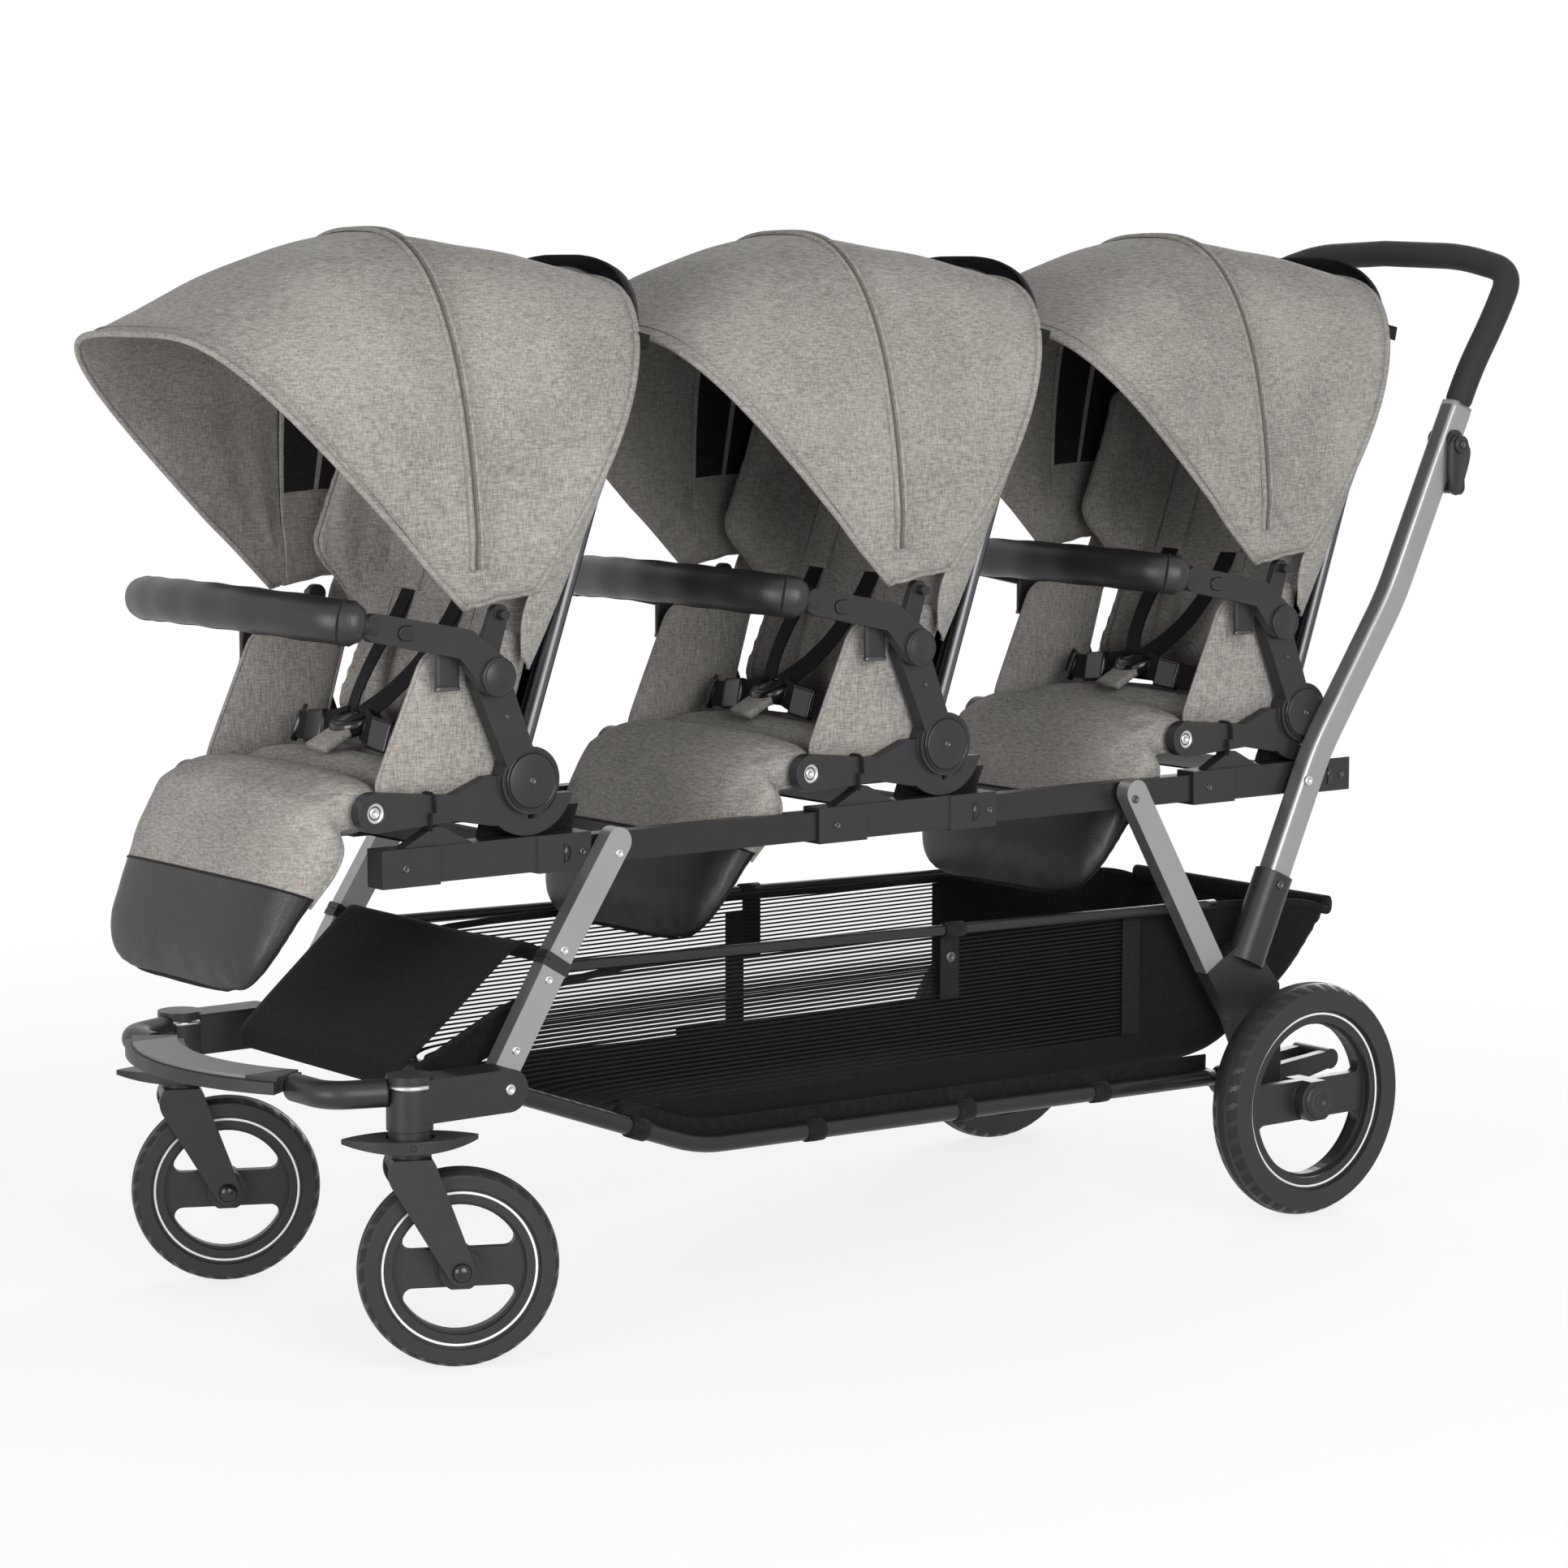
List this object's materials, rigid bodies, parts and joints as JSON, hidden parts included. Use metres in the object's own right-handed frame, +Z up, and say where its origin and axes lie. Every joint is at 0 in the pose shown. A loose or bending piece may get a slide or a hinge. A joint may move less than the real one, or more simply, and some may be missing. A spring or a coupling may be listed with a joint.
{
  "type": "triple in-line stroller",
  "caption": "In-line stroller with lift-off seats one behind another on a long chassis, folding canopies, padded bumper bars, swivel front wheels, push handle, basket and footboard.",
  "frame": {"origin": "on the ground below the middle of the overall length, on the plane of symmetry", "axes": "+X forward, +Y to the stroller's left, +Z up"},
  "size_m": [1.7525, 0.5903, 1.106],
  "materials": {
    "black_plastic": "satin moulded plastic",
    "black_metal": "satin black paint",
    "aluminium": "brushed anodised",
    "seat_fabric": "heathered woven cloth, leathercloth toe",
    "canopy_fabric": "heathered woven cloth",
    "bar_leather": "soft grain",
    "button_plastic": "satin",
    "webbing": "woven webbing",
    "foam": "closed-cell foam",
    "basket_mesh": "mesh",
    "tread": "moulded grey",
    "axle_steel": "blackened",
    "wheel": "foam-filled tyre on a black rim"
  },
  "bodies": {
    "chassis": {"seat_rails": "black_metal", "seat_adapters": "black_plastic", "front_legs": "aluminium", "leg_knuckles": "black_plastic", "rear_struts": "aluminium", "handle_tube": "aluminium", "handle_grip": "foam", "rear_castings": "black_plastic", "basket_rails": "black_metal", "basket": "basket_mesh", "front_castings": "black_plastic", "front_crossbar": "black_metal", "footboard": "tread", "rear_axle": "axle_steel"},
    "release_levers": {"release_levers": "black_plastic"},
    "brake_pedal": {"brake_pedal": "black_plastic"},
    "caster_left": {"caster_fork_left": "black_plastic"},
    "swivel_lock_left": {"swivel_lock_left": "black_plastic"},
    "front_wheel_left": {"front_wheel_left": "wheel"},
    "rear_wheel_left": {"rear_wheel_left": "wheel"},
    "caster_right": {"caster_fork_right": "black_plastic"},
    "swivel_lock_right": {"swivel_lock_right": "black_plastic"},
    "front_wheel_right": {"front_wheel_right": "wheel"},
    "rear_wheel_right": {"rear_wheel_right": "wheel"},
    "front_seat": {"front_seat_frame": "black_plastic", "front_seat_cushion": "seat_fabric", "front_seat_canopy_rear": "canopy_fabric", "front_seat_harness": "webbing"},
    "front_back": {"front_seat_back_frame": "aluminium", "front_seat_back_pad": "seat_fabric"},
    "front_canopy": {"front_seat_canopy_front": "canopy_fabric"},
    "front_bar": {"front_seat_bumper_bar": "black_plastic", "front_seat_bar_pad": "bar_leather"},
    "front_button_left": {"front_seat_bar_button_left": "button_plastic"},
    "front_button_right": {"front_seat_bar_button_right": "button_plastic"},
    "front_legrest": {"front_seat_legrest": "seat_fabric"},
    "middle_seat": {"middle_seat_frame": "black_plastic", "middle_seat_cushion": "seat_fabric", "middle_seat_canopy_rear": "canopy_fabric", "middle_seat_harness": "webbing"},
    "middle_back": {"middle_seat_back_frame": "aluminium", "middle_seat_back_pad": "seat_fabric"},
    "middle_canopy": {"middle_seat_canopy_front": "canopy_fabric"},
    "middle_bar": {"middle_seat_bumper_bar": "black_plastic", "middle_seat_bar_pad": "bar_leather"},
    "middle_button_left": {"middle_seat_bar_button_left": "button_plastic"},
    "middle_button_right": {"middle_seat_bar_button_right": "button_plastic"},
    "middle_legrest": {"middle_seat_legrest": "seat_fabric"},
    "rear_seat": {"rear_seat_frame": "black_plastic", "rear_seat_cushion": "seat_fabric", "rear_seat_canopy_rear": "canopy_fabric", "rear_seat_harness": "webbing"},
    "rear_back": {"rear_seat_back_frame": "aluminium", "rear_seat_back_pad": "seat_fabric"},
    "rear_canopy": {"rear_seat_canopy_front": "canopy_fabric"},
    "rear_bar": {"rear_seat_bumper_bar": "black_plastic", "rear_seat_bar_pad": "bar_leather"},
    "rear_button_left": {"rear_seat_bar_button_left": "button_plastic"},
    "rear_button_right": {"rear_seat_bar_button_right": "button_plastic"},
    "rear_legrest": {"rear_seat_legrest": "seat_fabric"}
  },
  "joints": [
    {"name": "front_seat_lift", "type": "slide", "parent": "chassis", "child": "front_seat", "axis": [0, 0, 1], "range_m": [0, 0.3]},
    {"name": "front_recline", "type": "hinge", "parent": "front_seat", "child": "front_back", "pos_m": [0.537, 0, 0.563], "axis": [0, -1, 0], "range_deg": [0, 3]},
    {"name": "front_canopy_fold", "type": "hinge", "parent": "front_seat", "child": "front_canopy", "pos_m": [0.565, 0, 0.729], "axis": [0, -1, 0], "range_deg": [0, 34]},
    {"name": "front_bar_lift", "type": "hinge", "parent": "front_seat", "child": "front_bar", "pos_m": [0.585, 0, 0.67], "axis": [0, -1, 0], "range_deg": [0, 25]},
    {"name": "front_legrest_lift", "type": "hinge", "parent": "front_seat", "child": "front_legrest", "pos_m": [0.715, 0, 0.543], "axis": [0, -1, 0], "range_deg": [0, 35]},
    {"name": "front_button_left_press", "type": "slide", "parent": "front_bar", "child": "front_button_left", "axis": [0, -1, 0], "range_m": [0, 0.003], "stiffness_N_per_m": 300, "springref_m": -0.004},
    {"name": "front_button_right_press", "type": "slide", "parent": "front_bar", "child": "front_button_right", "axis": [0, 1, 0], "range_m": [0, 0.003], "stiffness_N_per_m": 300, "springref_m": -0.004},
    {"name": "middle_seat_lift", "type": "slide", "parent": "chassis", "child": "middle_seat", "axis": [0, 0, 1], "range_m": [0, 0.3]},
    {"name": "middle_recline", "type": "hinge", "parent": "middle_seat", "child": "middle_back", "pos_m": [0, 0, 0.563], "axis": [0, -1, 0], "range_deg": [0, 3]},
    {"name": "middle_canopy_fold", "type": "hinge", "parent": "middle_seat", "child": "middle_canopy", "pos_m": [0.028, 0, 0.729], "axis": [0, -1, 0], "range_deg": [0, 34]},
    {"name": "middle_bar_lift", "type": "hinge", "parent": "middle_seat", "child": "middle_bar", "pos_m": [0.048, 0, 0.67], "axis": [0, -1, 0], "range_deg": [0, 25]},
    {"name": "middle_legrest_lift", "type": "hinge", "parent": "middle_seat", "child": "middle_legrest", "pos_m": [0.178, 0, 0.543], "axis": [0, -1, 0], "range_deg": [0, 35]},
    {"name": "middle_button_left_press", "type": "slide", "parent": "middle_bar", "child": "middle_button_left", "axis": [0, -1, 0], "range_m": [0, 0.003], "stiffness_N_per_m": 300, "springref_m": -0.004},
    {"name": "middle_button_right_press", "type": "slide", "parent": "middle_bar", "child": "middle_button_right", "axis": [0, 1, 0], "range_m": [0, 0.003], "stiffness_N_per_m": 300, "springref_m": -0.004},
    {"name": "rear_seat_lift", "type": "slide", "parent": "chassis", "child": "rear_seat", "axis": [0, 0, 1], "range_m": [0, 0.3]},
    {"name": "rear_recline", "type": "hinge", "parent": "rear_seat", "child": "rear_back", "pos_m": [-0.537, 0, 0.563], "axis": [0, -1, 0], "range_deg": [0, 25]},
    {"name": "rear_canopy_fold", "type": "hinge", "parent": "rear_seat", "child": "rear_canopy", "pos_m": [-0.509, 0, 0.729], "axis": [0, -1, 0], "range_deg": [0, 34]},
    {"name": "rear_bar_lift", "type": "hinge", "parent": "rear_seat", "child": "rear_bar", "pos_m": [-0.489, 0, 0.67], "axis": [0, -1, 0], "range_deg": [0, 25]},
    {"name": "rear_legrest_lift", "type": "hinge", "parent": "rear_seat", "child": "rear_legrest", "pos_m": [-0.359, 0, 0.543], "axis": [0, -1, 0], "range_deg": [0, 35]},
    {"name": "rear_button_left_press", "type": "slide", "parent": "rear_bar", "child": "rear_button_left", "axis": [0, -1, 0], "range_m": [0, 0.003], "stiffness_N_per_m": 300, "springref_m": -0.004},
    {"name": "rear_button_right_press", "type": "slide", "parent": "rear_bar", "child": "rear_button_right", "axis": [0, 1, 0], "range_m": [0, 0.003], "stiffness_N_per_m": 300, "springref_m": -0.004},
    {"name": "release_squeeze", "type": "hinge", "parent": "chassis", "child": "release_levers", "pos_m": [-0.746, 0, 0.871], "axis": [0, 1, 0], "range_deg": [0, 25], "stiffness_Nm_per_rad": 1, "springref_deg": -17.19},
    {"name": "brake_press", "type": "hinge", "parent": "chassis", "child": "brake_pedal", "pos_m": [-0.468, 0, 0.133], "axis": [0, -1, 0], "range_deg": [0, 20]},
    {"name": "caster_swivel_left", "type": "hinge", "parent": "chassis", "child": "caster_left", "pos_m": [0.707, 0.224, 0.25], "axis": [0, 0, 1], "continuous": true},
    {"name": "swivel_lock_tip_left", "type": "hinge", "parent": "caster_left", "child": "swivel_lock_left", "pos_m": [0.707, 0.224, 0.224], "axis": [0.4384, 0.8988, 0], "range_deg": [0, 10]},
    {"name": "front_wheel_spin_left", "type": "hinge", "parent": "caster_left", "child": "front_wheel_left", "pos_m": [0.66566, 0.24417, 0.0995], "axis": [0.4384, 0.8988, 0], "continuous": true},
    {"name": "rear_wheel_spin_left", "type": "hinge", "parent": "chassis", "child": "rear_wheel_left", "pos_m": [-0.468, 0.269, 0.133], "axis": [0, 1, 0], "continuous": true},
    {"name": "caster_swivel_right", "type": "hinge", "parent": "chassis", "child": "caster_right", "pos_m": [0.707, -0.224, 0.25], "axis": [0, 0, 1], "continuous": true},
    {"name": "swivel_lock_tip_right", "type": "hinge", "parent": "caster_right", "child": "swivel_lock_right", "pos_m": [0.707, -0.224, 0.224], "axis": [0.4384, 0.8988, 0], "range_deg": [0, 10]},
    {"name": "front_wheel_spin_right", "type": "hinge", "parent": "caster_right", "child": "front_wheel_right", "pos_m": [0.66566, -0.20383, 0.0995], "axis": [0.4384, 0.8988, 0], "continuous": true},
    {"name": "rear_wheel_spin_right", "type": "hinge", "parent": "chassis", "child": "rear_wheel_right", "pos_m": [-0.468, -0.269, 0.133], "axis": [0, 1, 0], "continuous": true}
  ]
}
